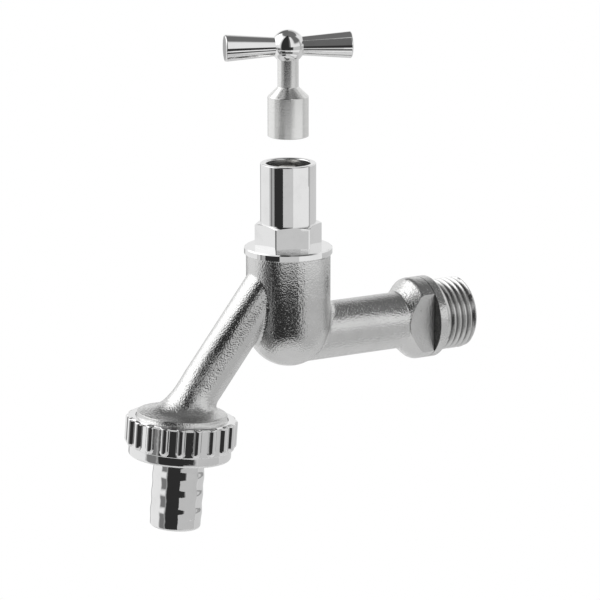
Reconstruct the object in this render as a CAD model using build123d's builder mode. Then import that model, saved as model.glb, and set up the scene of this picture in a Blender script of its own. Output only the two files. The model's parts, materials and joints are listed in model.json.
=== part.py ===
from build123d import *
import os
from math import cos, pi, radians, sin

os.makedirs("parts", exist_ok=True)

# Loose key hose tap, in millimetres, drawn shut and with its key lifted out of the guard sleeve.
# The origin is the centre of the stop ring's face, where the inlet thread starts. +X runs along the inlet
# into the wall, +Z is up, and the spout reaches towards -X.

# Fits
running_clearance = 0.05
thread_clearance = 0.06
key_clearance = 0.05
seal_clearance = 0.03

# Inlet: thread, stop ring, spanner flats, shoulder and pipe
inlet_thread_diameter = 20.955
inlet_thread_length = 11.2
inlet_thread_chamfer = 0.8
collar_diameter = 24.0
collar_length = 6.5
stop_ring_width = 2.5
spanner_flats = 16.7
shoulder_length = 4.2
shoulder_round = 2.2
shoulder_hollow = 1.2
pipe_diameter = 16.5
pipe_wall = 2.25
inlet_reach = 47.0

# Valve housing
housing_diameter = 24.3
housing_top = 24.2
housing_below_pipe = 0.55
housing_rim_wall = 1.75
seat_bore = 9.5
seat_above_bore = 3.0
seat_lip_height = 1.0
seat_lip_width = 1.5
chamber_step = 2.0
pipe_blend = 2.6
spout_blend = 1.2

# Spout, bell and outlet thread
spout_diameter = 12.6
spout_wall = 2.1
spout_slope = 51.9
outlet_reach = 34.8
outlet_drop = 19.6
outlet_lean = 4.6
bell_step = 0.27
bell_rim_height = 1.2
bell_rim_round = 0.35
flare_length = 13.0
outlet_thread_diameter = 26.441
outlet_thread_length = 6.2
outlet_thread_chamfer = 0.6
outlet_bore = 16.0
outlet_bore_depth = 7.0

# Bonnet
flange_overhang = 0.55
flange_height = 2.2
flange_chamfer = 0.35
hexagon_ledge = 0.5
hexagon_height = 7.0
hexagon_turn = 39.4
hexagon_chamfer = 0.9
shank_end_gap = 1.0
seal_groove_height = 1.8
seal_groove_depth = 1.35
gland_height = 4.1
gland_lip = 1.5
guide_flats = 10.0

# Guard sleeve
sleeve_wall = 1.65
sleeve_height = 17.4
sleeve_edge_chamfer = 0.35

# Spindle
square_flats = 5.0
square_turn = -20.0
square_top_below_rim = 1.35
square_chamfer = 0.4
neck_diameter = 7.2
barrel_diameter = 9.0
barrel_length = 8.0
ring_groove_width = 1.7
ring_groove_depth = 1.4
ring_groove_spacing = 3.4
ring_groove_from_top = 2.0
spindle_thread_diameter = 7.0
circlip_thickness = 0.8
circlip_groove_depth = 0.6
circlip_width = 1.6
circlip_gap = 60.0
thrust_washer_thickness = 0.5

# Valve
valve_lift = 4.0
travel_gap = 0.3
carrier_disc_gap = 1.8
carrier_disc_thickness = 1.6
carrier_cup_depth = 1.2
carrier_cup_wall = 0.6
carrier_bore_floor = 2.3
valve_washer_thickness = 2.6
screw_diameter = 4.0
screw_length = 5.4
screw_head_diameter = 6.6
screw_head_height = 1.6
screw_slot_width = 1.0
screw_slot_depth = 0.9

# Key
key_above_sleeve = 7.65
socket_diameter = 11.7
socket_play = 0.5
socket_length = 11.6
socket_cone_height = 2.7
socket_depth = 9.5
stem_diameter = 6.0
stem_spigot_diameter = 4.0
stem_spigot_length = 4.0
ball_diameter = 9.6
ball_height = 25.85
arm_root_diameter = 5.4
arm_tip_diameter = 7.7
arm_reach = 18.2
arm_edge_round = 0.4
arm_turn = -19.5
socket_edge_chamfer = 0.3

# Union nut
nut_band_wall = 1.42
nut_band_height = 2.9
nut_valley_step = 0.4
nut_rib_count = 20
nut_rib_width = 2.8
nut_rib_height = 0.9
nut_rib_top = 0.35
nut_rib_above_floor = 3.05
nut_rib_chamfer = 0.55
nut_rib_turn = 8.0
nut_floor = 2.1
nut_top_chamfer = 0.5
nut_floor_round = 0.8
nut_tail_gap = 0.4

# Hose tail
tail_washer_thickness = 1.7
tail_flange_gap = 0.48
tail_flange_thickness = 1.7
tail_diameter = 14.9
tail_barb_depth = 0.15
tail_barb_land = 0.5
tail_barb_rise = 0.5
tail_first_barb = 5.6
tail_barb_pitch = 5.2
tail_barb_count = 3
tail_length = 20.6
tail_tip_round = 0.9
tail_bore = 10.0

# Places worked out from the sizes above
housing_x = -inlet_reach
housing_section = Plane(origin=(housing_x, 0, 0), x_dir=(1, 0, 0), z_dir=(0, -1, 0))
housing_axis = Axis((housing_x, 0, 0), (0, 0, 1))


def level(height):
    """Horizontal plane on the housing's axis."""
    return Plane(origin=(housing_x, 0, height), x_dir=(1, 0, 0), z_dir=(0, 0, 1))


spout_run = Vector(-cos(radians(spout_slope)), 0, -sin(radians(spout_slope)))
outlet_up = Vector(sin(radians(outlet_lean)), 0, cos(radians(outlet_lean)))
outlet_out = Vector(cos(radians(outlet_lean)), 0, -sin(radians(outlet_lean)))
rim_centre = Vector(housing_x - outlet_reach, 0, -outlet_drop)
outlet_plane = Plane(origin=rim_centre, x_dir=outlet_out, z_dir=outlet_up)
outlet_section = Plane(origin=rim_centre, x_dir=outlet_out, z_dir=(0, -1, 0))
outlet_axis = Axis(rim_centre, outlet_up)
spout_length = (outlet_reach - housing_diameter / 4) / cos(radians(spout_slope))
spout_plane = Plane(origin=rim_centre, x_dir=(0, 1, 0), z_dir=-spout_run)

# Sections of the flare from the spout to the bell: shares of its length, of its widening and of its tilt
flare_sections = [(1.0, 0.0, 1.0), (0.81, 0.0, 1.0), (0.42, 0.11, 0.27), (0.25, 0.32, 0.10), (0.16, 0.63, 0.03)]


def flare_plane(length_share, tilt_share):
    """Plane across the spout's axis, tilted between the bell's rim and the spout."""
    tilt = radians((90 - spout_slope - outlet_lean) * tilt_share)
    normal = outlet_up * cos(tilt) + outlet_out * sin(tilt)
    return Plane(origin=rim_centre - spout_run * flare_length * length_share, x_dir=(0, 1, 0), z_dir=normal)



inlet_bore = pipe_diameter - 2 * pipe_wall
housing_floor_centre = (housing_diameter - pipe_diameter) / 2 - housing_below_pipe
seat_height = inlet_bore / 2 + seat_above_bore
chamber_floor = seat_height - seat_lip_height
headwork_thread_diameter = housing_diameter - 2 * housing_rim_wall
chamber_diameter = headwork_thread_diameter - 2 * chamber_step
spout_bore = spout_diameter - 2 * spout_wall
bell_diameter = outlet_thread_diameter - 2 * bell_step

flange_diameter = housing_diameter + 2 * flange_overhang
flange_top = housing_top + flange_height
hexagon_top = flange_top + hexagon_height
gland_top = hexagon_top + gland_height
gland_shoulder = gland_top - gland_lip
sleeve_bore = socket_diameter + 2 * socket_play
sleeve_diameter = sleeve_bore + 2 * sleeve_wall
sleeve_top = hexagon_top + sleeve_height
hexagon_flats = sleeve_diameter + 2 * hexagon_ledge
key_lifted = sleeve_top + key_above_sleeve

square_top = sleeve_top - square_top_below_rim
barrel_top = gland_shoulder - thrust_washer_thickness
barrel_end = barrel_top - barrel_length
carrier_disc_diameter = chamber_diameter - 2 * carrier_disc_gap
carrier_floor = seat_height + valve_washer_thickness
carrier_cup_end = carrier_floor - carrier_cup_depth
carrier_disc_top = carrier_floor + carrier_disc_thickness
carrier_bore_end = carrier_disc_top + carrier_bore_floor
carrier_top = barrel_end - travel_gap - valve_lift
spindle_end = carrier_bore_end + valve_lift + travel_gap
shank_end = carrier_disc_top + valve_lift + travel_gap
headwork_floor = shank_end - shank_end_gap
thread_diameter_in_carrier = spindle_thread_diameter + 2 * thread_clearance

tail_flange_top = outlet_thread_length + tail_washer_thickness
nut_shoulder = tail_flange_top + tail_flange_thickness
nut_height = nut_shoulder + nut_floor
nut_bore = outlet_thread_diameter + 2 * thread_clearance
nut_band_diameter = nut_bore + 2 * nut_band_wall
nut_valley_diameter = nut_band_diameter + 2 * nut_valley_step
nut_diameter = nut_valley_diameter + 2 * nut_rib_height
nut_rib_end = nut_height - nut_rib_above_floor
tail_flange_diameter = nut_bore - 2 * tail_flange_gap
tail_tip = nut_height + tail_length


def ring_centres():
    """Heights of the two spindle seals, upper first."""
    upper = barrel_top - ring_groove_from_top
    return [upper, upper - ring_groove_spacing]


# Cast body
with BuildPart() as tap_body:
    # Valve housing: a cylinder on a hemispherical floor, whose poles lie under the pipe and the spout
    housing_radius = housing_diameter / 2
    with BuildSketch(level(housing_floor_centre)):
        Circle(housing_radius)
    extrude(amount=housing_top - housing_floor_centre)
    with BuildSketch(housing_section):
        with BuildLine():
            CenterArc((0, housing_floor_centre), housing_radius, 0, 180)
            Line((-housing_radius, housing_floor_centre), (housing_radius, housing_floor_centre))
        make_face()
    revolve(axis=Axis((housing_x, 0, housing_floor_centre), (1, 0, 0)))

    # Spout tube
    with BuildSketch(spout_plane.offset(flare_length)):
        Circle(spout_diameter / 2)
    extrude(amount=spout_length - flare_length)
    root_edges = tap_body.edges(Select.NEW).filter_by_position(Axis.X, housing_x - housing_radius, housing_x)
    fillet(root_edges, radius=spout_blend)

    # Inlet: pipe, shoulder, collar and thread blank
    pipe_radius = pipe_diameter / 2
    collar_radius = collar_diameter / 2
    thread_radius = inlet_thread_diameter / 2
    with BuildSketch(Plane.XZ):
        with BuildLine():
            FilletPolyline(
                (-inlet_reach, 0),
                (-inlet_reach, pipe_radius),
                (-collar_length - shoulder_length, pipe_radius),
                (-collar_length, collar_radius),
                (0, collar_radius),
                (0, thread_radius),
                (inlet_thread_length - inlet_thread_chamfer, thread_radius),
                (inlet_thread_length, thread_radius - inlet_thread_chamfer),
                (inlet_thread_length, 0),
                radius=[0, shoulder_hollow, shoulder_round, 0, 0, 0, 0],
            )
            Line((inlet_thread_length, 0), (-inlet_reach, 0))
        make_face()
    revolve(axis=Axis.X)
    fillet(tap_body.edges(Select.NEW), radius=pipe_blend)

    # Spanner flats behind the stop ring
    flat_cut = collar_radius - spanner_flats / 2
    with BuildSketch(Plane.YZ.offset(-stop_ring_width)):
        with GridLocations(spanner_flats + flat_cut, 0, 2, 1):
            Rectangle(flat_cut, collar_diameter)
    extrude(amount=-collar_length - shoulder_length, mode=Mode.SUBTRACT)

    # Flare from the spout to the bell's rim
    spout_radius = spout_diameter / 2
    bell_radius = bell_diameter / 2
    for length_share, width_share, tilt_share in flare_sections:
        with BuildSketch(flare_plane(length_share, tilt_share)):
            Circle(spout_radius + (bell_radius - spout_radius) * width_share)
    with BuildSketch(Plane(origin=rim_centre + outlet_up * bell_rim_height, x_dir=(0, 1, 0), z_dir=outlet_up)):
        Circle(bell_radius - bell_rim_round)
    loft()

    # Bell's rim and outlet thread blank
    outlet_thread_radius = outlet_thread_diameter / 2
    with BuildSketch(outlet_section):
        with BuildLine():
            FilletPolyline(
                (0, -outlet_thread_length),
                (outlet_thread_radius - outlet_thread_chamfer, -outlet_thread_length),
                (outlet_thread_radius, outlet_thread_chamfer - outlet_thread_length),
                (outlet_thread_radius, bell_radius - outlet_thread_radius),
                (bell_radius, 0),
                (bell_radius, bell_rim_height),
                (0, bell_rim_height),
                radius=[0, 0, 0, 0, bell_rim_round],
            )
            Line((0, bell_rim_height), (0, -outlet_thread_length))
        make_face()
    revolve(axis=outlet_axis)

    # Waterway from the inlet to the seat
    lip_radius = seat_bore / 2 + seat_lip_width
    with BuildSketch(Plane.YZ.offset(inlet_thread_length)):
        Circle(inlet_bore / 2)
    extrude(amount=-inlet_thread_length - inlet_reach - lip_radius, mode=Mode.SUBTRACT)
    with BuildSketch(level(0)):
        Circle(seat_bore / 2)
    extrude(amount=seat_height, mode=Mode.SUBTRACT)

    # Chamber around the raised seat, and the socket for the bonnet's thread
    headwork_radius = headwork_thread_diameter / 2 + thread_clearance
    with BuildSketch(housing_section):
        with BuildLine():
            Polyline(
                (0, seat_height),
                (lip_radius, seat_height),
                (lip_radius, chamber_floor),
                (chamber_diameter / 2, chamber_floor),
                (chamber_diameter / 2, headwork_floor),
                (headwork_radius, headwork_floor),
                (headwork_radius, housing_top),
                (0, housing_top),
                close=True,
            )
        make_face()
    revolve(axis=housing_axis, mode=Mode.SUBTRACT)

    # Waterway through the spout and the outlet
    with BuildSketch(spout_plane):
        Circle(spout_bore / 2)
    extrude(amount=spout_length, mode=Mode.SUBTRACT)
    with BuildSketch(outlet_plane.offset(-outlet_thread_length)):
        Circle(outlet_bore / 2)
    extrude(amount=outlet_bore_depth, mode=Mode.SUBTRACT)
tap_body.part.label = "tap_body"
export_step(tap_body.part, "parts/tap_body.step")

# Bonnet: hexagon, flange, shank and gland
with BuildPart() as bonnet:
    with BuildSketch(level(flange_top)):
        RegularPolygon(hexagon_flats / 2, 6, major_radius=False, rotation=hexagon_turn)
    extrude(amount=hexagon_height)
    corner_radius = hexagon_flats / 2 / cos(pi / 6)
    with BuildSketch(housing_section):
        with BuildLine():
            Polyline(
                (0, flange_top),
                (corner_radius + hexagon_chamfer, flange_top),
                (corner_radius + hexagon_chamfer, hexagon_top - hexagon_chamfer),
                (hexagon_flats / 2 - running_clearance, hexagon_top),
                (0, hexagon_top),
                close=True,
            )
        make_face()
    revolve(axis=housing_axis, mode=Mode.INTERSECT)
    shank_radius = headwork_thread_diameter / 2
    groove_radius = shank_radius - seal_groove_depth
    flange_radius = flange_diameter / 2
    spigot_radius = sleeve_bore / 2 - seal_clearance
    with BuildSketch(housing_section):
        with BuildLine():
            Polyline(
                (0, shank_end),
                (shank_radius, shank_end),
                (shank_radius, housing_top - seal_groove_height),
                (groove_radius, housing_top - seal_groove_height),
                (groove_radius, housing_top),
                (flange_radius - flange_chamfer, housing_top),
                (flange_radius, housing_top + flange_chamfer),
                (flange_radius, flange_top - flange_chamfer),
                (flange_radius - flange_chamfer, flange_top),
                (spigot_radius, flange_top),
                (spigot_radius, gland_top),
                (0, gland_top),
                close=True,
            )
        make_face()
    revolve(axis=housing_axis)

    # Gland bore, its lip and the hexagonal guide for the valve carrier
    with BuildSketch(housing_section):
        with BuildLine():
            Polyline(
                (0, shank_end),
                (barrel_diameter / 2 + running_clearance, shank_end),
                (barrel_diameter / 2 + running_clearance, gland_shoulder),
                (neck_diameter / 2 + running_clearance, gland_shoulder),
                (neck_diameter / 2 + running_clearance, gland_top),
                (0, gland_top),
                close=True,
            )
        make_face()
    revolve(axis=housing_axis, mode=Mode.SUBTRACT)
    with BuildSketch(level(shank_end)):
        RegularPolygon(guide_flats / 2 + running_clearance, 6, major_radius=False, rotation=hexagon_turn)
    extrude(amount=barrel_end - shank_end, mode=Mode.SUBTRACT)
bonnet.part.label = "bonnet"
export_step(bonnet.part, "parts/bonnet.step")

# Guard sleeve, pushed over the gland and seated on the hexagon
with BuildPart() as guard_sleeve:
    with BuildSketch(housing_section):
        with BuildLine():
            Polyline(
                (sleeve_bore / 2, hexagon_top),
                (sleeve_diameter / 2, hexagon_top),
                (sleeve_diameter / 2, sleeve_top - sleeve_edge_chamfer),
                (sleeve_diameter / 2 - sleeve_edge_chamfer, sleeve_top),
                (sleeve_bore / 2 + sleeve_edge_chamfer, sleeve_top),
                (sleeve_bore / 2, sleeve_top - sleeve_edge_chamfer),
                close=True,
            )
        make_face()
    revolve(axis=housing_axis)
guard_sleeve.part.label = "guard_sleeve"
export_step(guard_sleeve.part, "parts/guard_sleeve.step")

# Square-section seal under the bonnet's flange
with BuildPart() as bonnet_gasket:
    with BuildSketch(level(housing_top - seal_groove_height)):
        Circle(shank_radius)
        Circle(groove_radius + seal_clearance, mode=Mode.SUBTRACT)
    extrude(amount=seal_groove_height)
bonnet_gasket.part.label = "bonnet_gasket"
export_step(bonnet_gasket.part, "parts/bonnet_gasket.step")

# Spindle: square head, neck, barrel with two seal grooves, and the thread blank that works the valve
with BuildPart() as spindle:
    neck_radius = neck_diameter / 2
    barrel_radius = barrel_diameter / 2
    spindle_thread_radius = spindle_thread_diameter / 2
    circlip_top = gland_top + circlip_thickness
    with BuildSketch(housing_section):
        with BuildLine():
            Polyline(
                (0, spindle_end),
                (spindle_thread_radius, spindle_end),
                (spindle_thread_radius, barrel_end),
                (barrel_radius, barrel_end),
                (barrel_radius, barrel_top),
                (neck_radius, barrel_top),
                (neck_radius, gland_top),
                (neck_radius - circlip_groove_depth, gland_top),
                (neck_radius - circlip_groove_depth, circlip_top),
                (neck_radius, circlip_top),
                (neck_radius, circlip_top + circlip_thickness),
                (0, circlip_top + circlip_thickness),
                close=True,
            )
        make_face()
        for centre in ring_centres():
            with Locations((barrel_radius - ring_groove_depth / 2, centre)):
                Rectangle(ring_groove_depth, ring_groove_width, mode=Mode.SUBTRACT)
    revolve(axis=housing_axis)
    with BuildSketch(level(circlip_top)):
        Rectangle(square_flats, square_flats, rotation=square_turn)
    extrude(amount=square_top - circlip_top)
    chamfer(spindle.faces().sort_by(Axis.Z)[-1].edges(), length=square_chamfer)
spindle.part.label = "spindle"
export_step(spindle.part, "parts/spindle.step")

# The spindle's two seals, of square section, in its grooves
seal_floor_radius = barrel_radius - ring_groove_depth + seal_clearance
upper_centre, lower_centre = ring_centres()
with BuildPart() as spindle_seal_upper:
    with BuildSketch(level(upper_centre - ring_groove_width / 2)):
        Circle(barrel_radius)
        Circle(seal_floor_radius, mode=Mode.SUBTRACT)
    extrude(amount=ring_groove_width)
spindle_seal_upper.part.label = "spindle_seal_upper"
export_step(spindle_seal_upper.part, "parts/spindle_seal_upper.step")

with BuildPart() as spindle_seal_lower:
    with BuildSketch(level(lower_centre - ring_groove_width / 2)):
        Circle(barrel_radius)
        Circle(seal_floor_radius, mode=Mode.SUBTRACT)
    extrude(amount=ring_groove_width)
spindle_seal_lower.part.label = "spindle_seal_lower"
export_step(spindle_seal_lower.part, "parts/spindle_seal_lower.step")

# Slip ring between the barrel's shoulder and the gland's lip
with BuildPart() as thrust_washer:
    with BuildSketch(level(barrel_top)):
        Circle(barrel_radius)
        Circle(neck_radius + running_clearance, mode=Mode.SUBTRACT)
    extrude(amount=thrust_washer_thickness)
thrust_washer.part.label = "thrust_washer"
export_step(thrust_washer.part, "parts/thrust_washer.step")

# Open retaining ring above the gland
circlip_radius = neck_radius - circlip_groove_depth + seal_clearance
with BuildPart() as spindle_circlip:
    with BuildSketch(level(gland_top)):
        Circle(circlip_radius + circlip_width)
        Circle(circlip_radius, mode=Mode.SUBTRACT)
        with BuildLine():
            mouth = circlip_gap / 2
            reach = 2 * (circlip_radius + circlip_width)
            Polyline(
                (0, 0),
                (reach * cos(radians(mouth)), reach * sin(radians(mouth))),
                (reach * cos(radians(mouth)), -reach * sin(radians(mouth))),
                close=True,
            )
        make_face(mode=Mode.SUBTRACT)
    extrude(amount=circlip_thickness - seal_clearance)
spindle_circlip.part.label = "spindle_circlip"
export_step(spindle_circlip.part, "parts/spindle_circlip.step")

# Valve carrier: hexagonal slider over a cupped disc
with BuildPart() as valve_carrier:
    disc_radius = carrier_disc_diameter / 2
    cup_radius = disc_radius - carrier_cup_wall
    with BuildSketch(housing_section):
        with BuildLine():
            Polyline(
                (0, carrier_floor),
                (cup_radius, carrier_floor),
                (cup_radius, carrier_cup_end),
                (disc_radius, carrier_cup_end),
                (disc_radius, carrier_disc_top),
                (0, carrier_disc_top),
                close=True,
            )
        make_face()
    revolve(axis=housing_axis)
    with BuildSketch(level(carrier_floor)):
        RegularPolygon(guide_flats / 2, 6, major_radius=False, rotation=hexagon_turn)
    extrude(amount=carrier_top - carrier_floor)
    with BuildSketch(level(carrier_bore_end)):
        Circle(thread_diameter_in_carrier / 2)
    extrude(amount=carrier_top - carrier_bore_end, mode=Mode.SUBTRACT)
    with BuildSketch(level(carrier_floor)):
        Circle(screw_diameter / 2 + seal_clearance)
    extrude(amount=screw_length - valve_washer_thickness + seal_clearance, mode=Mode.SUBTRACT)
valve_carrier.part.label = "valve_carrier"
export_step(valve_carrier.part, "parts/valve_carrier.step")

# Rubber valve washer, shut on the seat
with BuildPart() as valve_washer:
    with BuildSketch(level(seat_height)):
        Circle(cup_radius - seal_clearance)
        Circle(screw_diameter / 2 + seal_clearance, mode=Mode.SUBTRACT)
    extrude(amount=valve_washer_thickness)
valve_washer.part.label = "valve_washer"
export_step(valve_washer.part, "parts/valve_washer.step")

# Slotted screw that holds the washer
with BuildPart() as washer_screw:
    with BuildSketch(level(seat_height)):
        Circle(screw_head_diameter / 2)
    extrude(amount=-screw_head_height)
    with BuildSketch(level(seat_height)):
        Circle(screw_diameter / 2)
    extrude(amount=screw_length)
    with BuildSketch(level(seat_height - screw_head_height)):
        Rectangle(screw_head_diameter, screw_slot_width)
    extrude(amount=screw_slot_depth, mode=Mode.SUBTRACT)
washer_screw.part.label = "washer_screw"
export_step(washer_screw.part, "parts/washer_screw.step")

# Key socket: square socket, cone and stem, with a spigot pressed into the ball
ball_centre = key_lifted + ball_height
ball_radius = ball_diameter / 2
stem_radius = stem_diameter / 2
spigot_radius_in_ball = stem_spigot_diameter / 2
stem_top = ball_centre - (ball_radius**2 - stem_radius**2) ** 0.5
with BuildPart() as key_socket:
    socket_radius = socket_diameter / 2
    cone_base = key_lifted + socket_length
    with BuildSketch(housing_section):
        with BuildLine():
            Polyline(
                (0, key_lifted),
                (socket_radius - socket_edge_chamfer, key_lifted),
                (socket_radius, key_lifted + socket_edge_chamfer),
                (socket_radius, cone_base),
                (stem_radius, cone_base + socket_cone_height),
                (stem_radius, stem_top),
                (spigot_radius_in_ball, stem_top),
                (spigot_radius_in_ball, stem_top + stem_spigot_length),
                (0, stem_top + stem_spigot_length),
                close=True,
            )
        make_face()
    revolve(axis=housing_axis)
    socket_flats = square_flats + 2 * key_clearance
    with BuildSketch(level(key_lifted)):
        Rectangle(socket_flats, socket_flats, rotation=square_turn)
    extrude(amount=socket_depth, mode=Mode.SUBTRACT)
key_socket.part.label = "key_socket"
export_step(key_socket.part, "parts/key_socket.step")

# Key handle: ball with two arms that widen towards flat ends
arm_direction = Vector(cos(radians(arm_turn)), sin(radians(arm_turn)), 0)
arm_side = arm_direction.cross(Vector(0, 0, 1))
arm_section = Plane(origin=(housing_x, 0, ball_centre), x_dir=arm_direction, z_dir=arm_side)
arm_axis = Axis((housing_x, 0, ball_centre), arm_direction)
tip_radius = arm_tip_diameter / 2
root_radius = arm_root_diameter / 2
arm_taper = (tip_radius - root_radius) / (arm_reach - ball_radius)
with BuildPart() as key_handle:
    with BuildSketch(arm_section):
        with BuildLine():
            CenterArc((0, 0), ball_radius, 0, 180)
            Line((-ball_radius, 0), (ball_radius, 0))
        make_face()
    revolve(axis=arm_axis)
    with BuildSketch(arm_section):
        with BuildLine():
            FilletPolyline(
                (-arm_reach, 0),
                (-arm_reach, tip_radius),
                (0, root_radius - arm_taper * ball_radius),
                (arm_reach, tip_radius),
                (arm_reach, 0),
                radius=[arm_edge_round, 0, arm_edge_round],
            )
            Line((arm_reach, 0), (-arm_reach, 0))
        make_face()
    revolve(axis=arm_axis)

    # Flat under the ball and blind hole for the stem's spigot
    with BuildSketch(level(stem_top)):
        Circle(ball_radius)
    extrude(amount=-ball_radius, mode=Mode.SUBTRACT)
    with BuildSketch(level(stem_top)):
        Circle(spigot_radius_in_ball + seal_clearance)
    extrude(amount=stem_spigot_length + seal_clearance, mode=Mode.SUBTRACT)
key_handle.part.label = "key_handle"
export_step(key_handle.part, "parts/key_handle.step")

# Sealing washer between the spout and the hose tail
with BuildPart() as tail_washer:
    with BuildSketch(outlet_plane.offset(-outlet_thread_length)):
        Circle(tail_flange_diameter / 2)
        Circle(tail_diameter / 2, mode=Mode.SUBTRACT)
    extrude(amount=-tail_washer_thickness)
tail_washer.part.label = "tail_washer"
export_step(tail_washer.part, "parts/tail_washer.step")

# Hose tail: flange, shank and shallow barbs that rise towards the nut
tail_radius = tail_diameter / 2
barb_root_radius = tail_radius - tail_barb_depth
tail_outline = [
    (tail_bore / 2, -tail_flange_top),
    (tail_flange_diameter / 2, -tail_flange_top),
    (tail_flange_diameter / 2, -tail_flange_top - tail_flange_thickness),
    (tail_radius - tail_barb_depth / 2, -tail_flange_top - tail_flange_thickness),
]
for barb in range(tail_barb_count):
    crest = nut_height + tail_first_barb + barb * tail_barb_pitch
    tail_outline += [
        (barb_root_radius, -(crest - tail_barb_rise)),
        (tail_radius, -crest),
        (tail_radius, -(crest + tail_barb_land)),
    ]
tail_outline += [(barb_root_radius, -tail_tip), (tail_bore / 2, -tail_tip)]
with BuildPart() as hose_tail:
    with BuildSketch(outlet_section):
        with BuildLine():
            FilletPolyline(*tail_outline, radius=[0] * (len(tail_outline) - 3) + [tail_tip_round])
            Line(tail_outline[-1], tail_outline[0])
        make_face()
    revolve(axis=outlet_axis)
hose_tail.part.label = "hose_tail"
export_step(hose_tail.part, "parts/hose_tail.step")

# One grip rib of the union nut, with a rounded lower end, about the nut's own axis
with BuildPart() as nut_rib:
    rib_foot = nut_band_diameter / 2 - nut_rib_chamfer
    rib_bottom = nut_rib_width / 2 - nut_rib_end
    with BuildSketch(Plane.YZ.offset(rib_foot)):
        with BuildLine():
            Polyline(
                (-nut_rib_width / 2, rib_bottom),
                (-nut_rib_width / 2, -nut_rib_top),
                (nut_rib_width / 2, -nut_rib_top),
                (nut_rib_width / 2, rib_bottom),
            )
            ThreePointArc(
                (nut_rib_width / 2, rib_bottom), (0, -nut_rib_end), (-nut_rib_width / 2, rib_bottom)
            )
        make_face()
    extrude(amount=nut_diameter / 2 - rib_foot)
    chamfer(nut_rib.faces().sort_by(Axis.X)[-1].edges(), length=nut_rib_chamfer)

# Union nut
with BuildPart(outlet_plane) as union_nut:
    nut_top_radius = nut_diameter / 2 - nut_rib_chamfer
    band_radius = nut_band_diameter / 2
    valley_radius = nut_valley_diameter / 2
    nut_bore_radius = nut_bore / 2
    with BuildSketch(outlet_section):
        with BuildLine():
            FilletPolyline(
                (nut_bore_radius, 0),
                (nut_top_radius - nut_top_chamfer, 0),
                (nut_top_radius, -nut_top_chamfer),
                (valley_radius, -nut_top_chamfer - nut_rib_chamfer),
                (valley_radius, nut_band_height + nut_valley_step - nut_height),
                (band_radius, nut_band_height - nut_height),
                (band_radius, -nut_height),
                (tail_radius + nut_tail_gap, -nut_height),
                (tail_radius + nut_tail_gap, -nut_shoulder),
                (nut_bore_radius, -nut_shoulder),
                radius=[0, 0, 0, 0, 0, nut_floor_round, 0, 0],
            )
            Line((nut_bore_radius, -nut_shoulder), (nut_bore_radius, 0))
        make_face()
    revolve(axis=outlet_axis)
    with PolarLocations(0, nut_rib_count, start_angle=nut_rib_turn):
        add(nut_rib.part)
union_nut.part.label = "union_nut"
export_step(union_nut.part, "parts/union_nut.step")
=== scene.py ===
"""Looks of a loose key hose tap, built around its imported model."""

import json
from collections import namedtuple
from math import atan2, cos, pi, radians, sin, tan

import bmesh
import bpy
from bpy.props import FloatProperty, FloatVectorProperty, IntProperty, PointerProperty
from mathutils import Matrix, Vector

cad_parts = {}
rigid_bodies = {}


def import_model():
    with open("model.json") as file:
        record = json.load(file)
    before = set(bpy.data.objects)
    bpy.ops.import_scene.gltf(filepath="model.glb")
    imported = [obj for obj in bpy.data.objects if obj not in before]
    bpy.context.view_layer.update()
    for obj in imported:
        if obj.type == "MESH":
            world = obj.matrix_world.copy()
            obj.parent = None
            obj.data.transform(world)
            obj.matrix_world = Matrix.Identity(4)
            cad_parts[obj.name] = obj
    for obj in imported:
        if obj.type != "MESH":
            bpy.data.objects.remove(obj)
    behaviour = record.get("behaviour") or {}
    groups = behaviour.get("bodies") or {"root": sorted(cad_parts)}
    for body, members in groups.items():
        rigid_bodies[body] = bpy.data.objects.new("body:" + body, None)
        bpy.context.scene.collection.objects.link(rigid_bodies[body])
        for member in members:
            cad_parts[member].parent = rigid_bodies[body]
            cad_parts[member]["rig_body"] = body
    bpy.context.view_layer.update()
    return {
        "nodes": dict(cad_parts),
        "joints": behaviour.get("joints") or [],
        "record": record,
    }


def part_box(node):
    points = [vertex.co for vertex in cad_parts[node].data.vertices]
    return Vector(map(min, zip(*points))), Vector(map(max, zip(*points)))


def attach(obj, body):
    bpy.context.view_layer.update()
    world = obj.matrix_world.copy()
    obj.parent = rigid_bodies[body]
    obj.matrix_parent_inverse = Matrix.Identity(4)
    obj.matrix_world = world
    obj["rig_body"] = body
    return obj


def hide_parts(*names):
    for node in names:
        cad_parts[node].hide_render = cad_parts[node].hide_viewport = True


bl_info = {
    "name": "Loose Key Tap",
    "version": (1, 0, 0),
    "blender": (4, 5, 0),
    "location": "View3D > Sidebar > Tap",
    "description": "Models and finishes a loose key hose tap around its packed frame",
    "category": "Add Mesh",
}

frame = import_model()

JOINTS = {joint["name"]: joint for joint in frame["joints"]}
NODE_SLOTS = {part["node"]: part["material_slot"] for part in frame["record"]["subparts"]}


def middle(node):
    """Centre of a node's box."""
    low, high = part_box(node)
    return (low + high) / 2


def axis_frame(origin, along, across=(1, 0, 0)):
    """Matrix whose Z runs along an axis and whose X lies as near to `across` as it can."""
    z = Vector(along).normalized()
    y = z.cross(Vector(across)).normalized()
    return Matrix.Translation(origin) @ Matrix((y.cross(z), y, z)).transposed().to_4x4()


def reach(node, place, axis):
    """Lowest and highest coordinate of a node along one axis of a frame."""
    inverse = place.inverted()
    values = [(inverse @ vertex.co)[axis] for vertex in frame["nodes"][node].data.vertices]
    return min(values), max(values)


def radii(node, place):
    """Smallest and largest distance of a node's corners from a frame's axis."""
    inverse = place.inverted()
    values = [(inverse @ vertex.co).xy.length for vertex in frame["nodes"][node].data.vertices]
    return min(values), max(values)


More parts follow.
